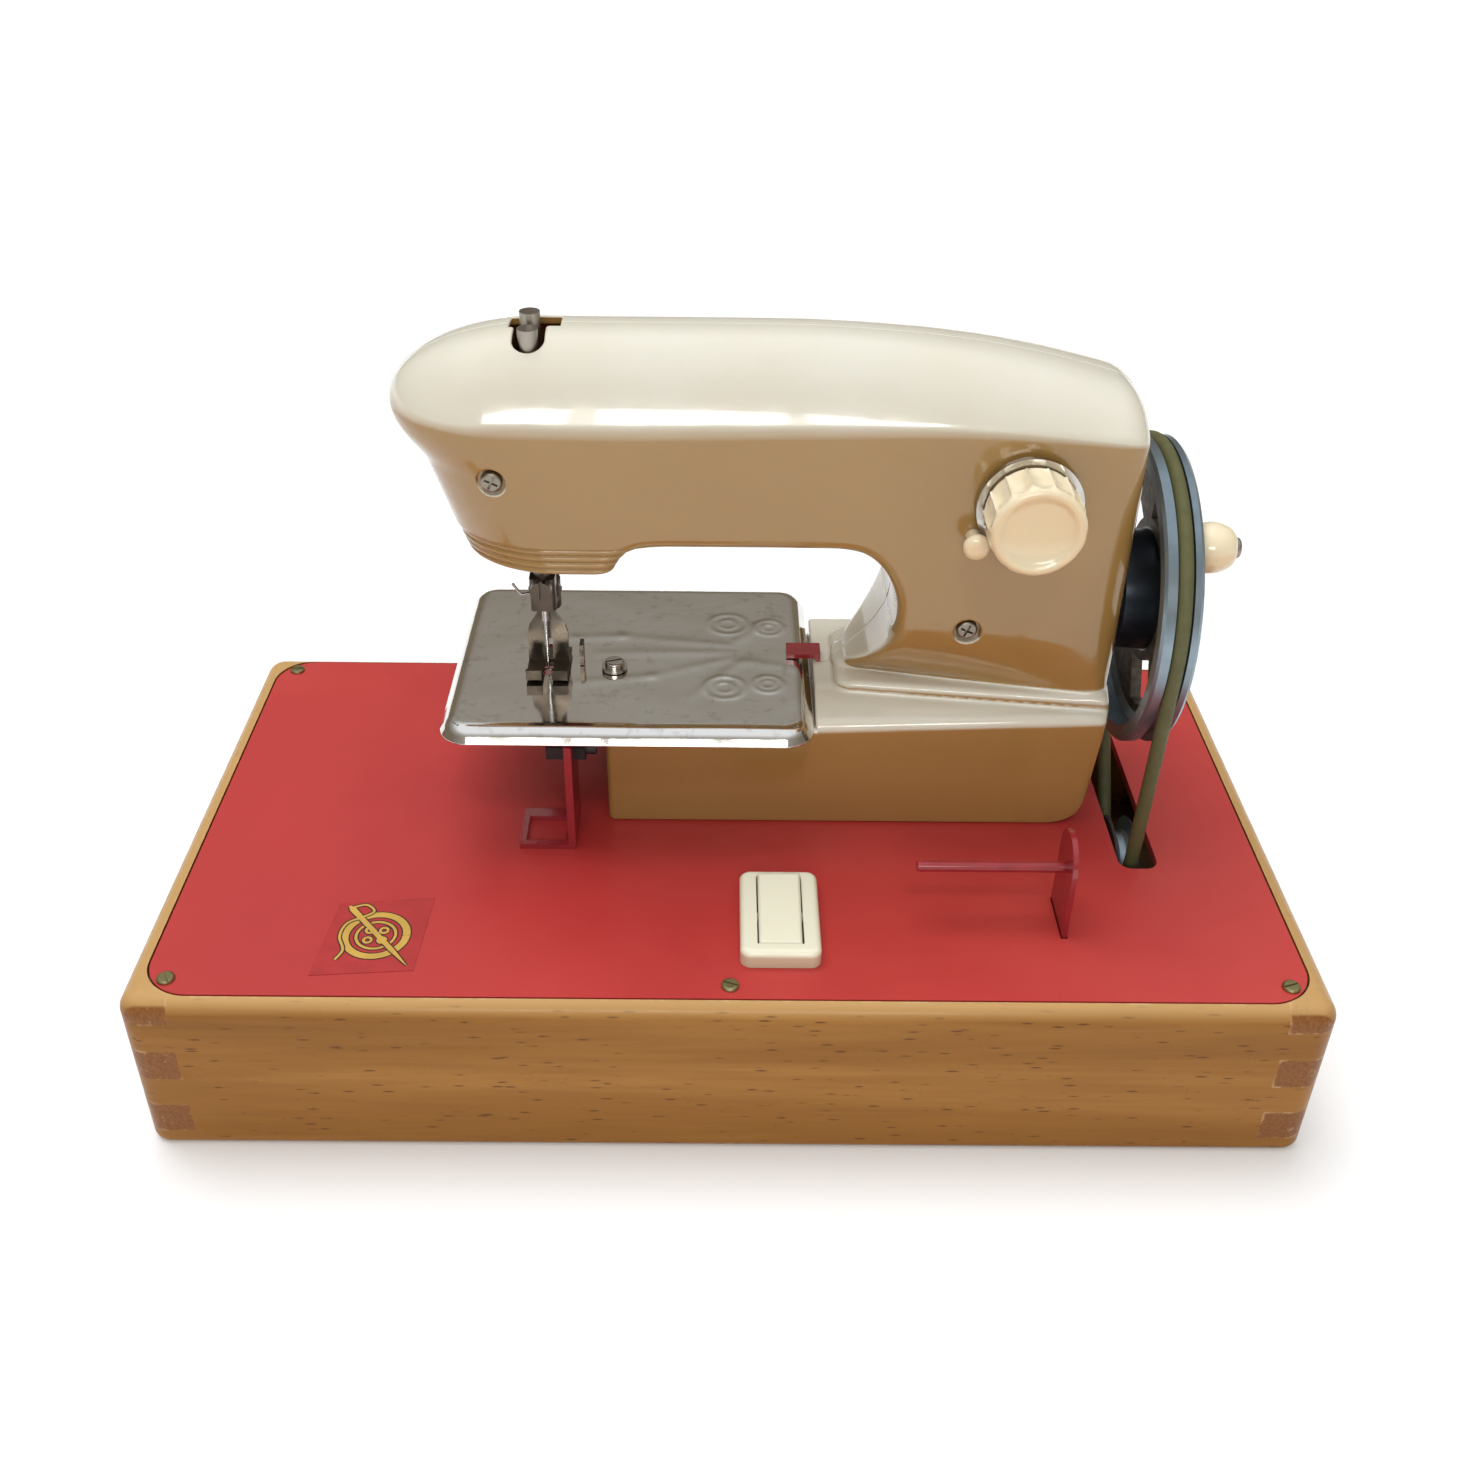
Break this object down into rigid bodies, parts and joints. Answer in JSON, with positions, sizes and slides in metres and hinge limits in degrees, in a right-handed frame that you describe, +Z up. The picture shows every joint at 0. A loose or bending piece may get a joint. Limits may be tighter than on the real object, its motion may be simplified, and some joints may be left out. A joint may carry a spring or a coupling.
{
  "type": "toy sewing machine",
  "caption": "Child's electric chain-stitch sewing machine with a cream moulded head, belt-driven handwheel and chromed bed on a finger-jointed beech box.",
  "frame": {"origin": "centre of the underside of the wooden base", "axes": "+Z up, +X towards the handwheel, +Y away from the operator"},
  "size_m": [0.33, 0.176, 0.2074],
  "materials": {
    "beech": "clear lacquered beech",
    "hardboard": "oiled hardboard",
    "red_laminate": "satin red laminate",
    "cream_shell": "polished cream moulding",
    "cream_switch": "glossy cream urea",
    "cream_knob": "glossy cream moulding",
    "chrome": "bright chrome plate, slightly wavy",
    "bar_steel": "ground steel with light patina",
    "foot_steel": "aged nickel plated steel",
    "zinc": "turned zinc alloy, blue passivated",
    "red_enamel": "dark red enamel",
    "deck_screw_brass": "tarnished brass",
    "zinc_screw": "zinc plated steel",
    "black_steel": "blackened steel",
    "belt_rubber": "aged olive rubber",
    "bronze": "sintered bronze",
    "motor_can": "plated steel can",
    "black_plastic": "black moulding",
    "cell_jacket": "plain printed steel jacket",
    "spring_steel": "bright spring steel",
    "wire_jacket": "flexible insulation",
    "emblem_film": "dark red transfer film"
  },
  "bodies": {
    "machine": {"base_front_board": "beech", "base_rear_board": "beech", "base_left_board": "beech", "base_right_board": "beech", "deck_panel": "red_laminate", "wood_screws": "deck_screw_brass", "bottom_panel": "hardboard", "front_shell": "cream_shell", "rear_shell": "cream_shell", "shell_screws": "zinc_screw", "frame_screws": "zinc_screw", "chassis": "red_enamel", "shaft_bushes": "bronze", "lever_stud": "bar_steel", "bed_plate": "chrome", "plate_screw": "chrome", "seam_guide": "bar_steel", "plate_clip": "red_enamel", "bed_bracket": "red_enamel", "bracket_bolt": "black_steel", "drive_belt": "belt_rubber", "motor_body": "motor_can", "motor_bracket": "zinc_screw", "battery_tray": "black_plastic", "battery_cells": "cell_jacket", "battery_contacts": "spring_steel", "leads": "wire_jacket", "switch_frame": "cream_switch", "spool_bracket": "red_enamel", "spool_pin": "red_enamel", "emblem_film": "emblem_film", "tension_stud": "bar_steel", "tension_discs": "chrome", "tension_spring": "spring_steel", "thread_peg": "cream_knob"},
    "handwheel_assembly": {"handwheel": "zinc", "crank_spindle": "bar_steel", "main_shaft": "bar_steel", "wheel_nut": "zinc_screw", "crank_discs": "bar_steel"},
    "crank_grip": {"crank_knob": "cream_knob"},
    "motor_rotor": {"motor_pulley": "zinc", "motor_shaft": "bar_steel"},
    "needle_beam": {"needle_lever": "bar_steel"},
    "yoke": {"needle_yoke": "bar_steel"},
    "needle_carrier": {"needle_bar": "bar_steel", "needle_bar_collar": "bar_steel", "needle_clamp": "foot_steel", "needle": "spring_steel", "thread_guide": "spring_steel"},
    "clamp_thumbscrew": {"clamp_screw": "foot_steel"},
    "presser": {"presser_bar": "bar_steel", "presser_spring": "spring_steel", "presser_foot": "foot_steel"},
    "looper_rocker": {"looper_shaft": "bar_steel", "looper": "bar_steel"},
    "looper_slide": {"looper_rod": "bar_steel"},
    "feed": {"feed_dog": "bar_steel"},
    "rocker": {"switch_rocker": "cream_switch"},
    "tension_nut": {"tension_knob": "cream_knob"}
  },
  "joints": [
    {"name": "handwheel_spin", "type": "hinge", "parent": "machine", "child": "handwheel_assembly", "pos_m": [0.12, 0.0203, 0.1235], "axis": [1, 0, 0], "continuous": true},
    {"name": "crank_knob_spin", "type": "hinge", "parent": "handwheel_assembly", "child": "crank_grip", "pos_m": [0.133, -0.0031, 0.1498], "axis": [1, 0, 0], "continuous": true},
    {"name": "motor_spin", "type": "hinge", "parent": "machine", "child": "motor_rotor", "pos_m": [0.12, -0.006, 0.0385], "axis": [1, 0, 0], "continuous": true},
    {"name": "needle_beam_rock", "type": "hinge", "parent": "machine", "child": "needle_beam", "pos_m": [0.018, 0.003, 0.166], "axis": [0, 1, 0], "range_deg": [-8, 8]},
    {"name": "needle_bar_slide", "type": "slide", "parent": "machine", "child": "needle_carrier", "axis": [0, 0, 1], "range_m": [-0.01024, 0.01024]},
    {"name": "yoke_slide", "type": "slide", "parent": "machine", "child": "yoke", "axis": [0, 0, 1], "range_m": [-0.00475, 0.00475]},
    {"name": "clamp_screw_turn", "type": "hinge", "parent": "needle_carrier", "child": "clamp_thumbscrew", "pos_m": [-0.0553, 0.005, 0.1296], "axis": [0, 1, 0], "range_deg": [0, 360]},
    {"name": "presser_lift", "type": "slide", "parent": "machine", "child": "presser", "axis": [0, 0, 1], "range_m": [0, 0.006], "stiffness_N_per_m": 150, "springref_m": -0.004},
    {"name": "looper_rock", "type": "hinge", "parent": "machine", "child": "looper_rocker", "pos_m": [0.02, 0.024, 0.08], "axis": [1, 0, 0], "range_deg": [-18, 18]},
    {"name": "looper_rod_slide", "type": "slide", "parent": "machine", "child": "looper_slide", "axis": [0, 0, 1], "range_m": [-0.0038, 0.0038]},
    {"name": "feed_slide", "type": "slide", "parent": "machine", "child": "feed", "axis": [0, 1, 0], "range_m": [-0.0015, 0.0015]},
    {"name": "switch_rock", "type": "hinge", "parent": "machine", "child": "rocker", "pos_m": [0.014, -0.0539, 0.057], "axis": [1, 0, 0], "range_deg": [-9, 0]},
    {"name": "tension_turn", "type": "hinge", "parent": "machine", "child": "tension_nut", "pos_m": [0.08, -0.015, 0.163], "axis": [0, 1, 0], "range_deg": [-360, 360]}
  ],
  "couplings": [
    {"joint": "motor_spin", "follows": "handwheel_spin", "ratio": 3.4308},
    {"joint": "needle_bar_slide", "follows": "needle_beam_rock", "m_per_rad": 0.0733},
    {"joint": "yoke_slide", "follows": "needle_beam_rock", "m_per_rad": -0.034},
    {"joint": "looper_rod_slide", "follows": "looper_rock", "m_per_rad": -0.012},
    {"joint": "feed_slide", "follows": "looper_rock", "m_per_rad": 0.0047}
  ]
}
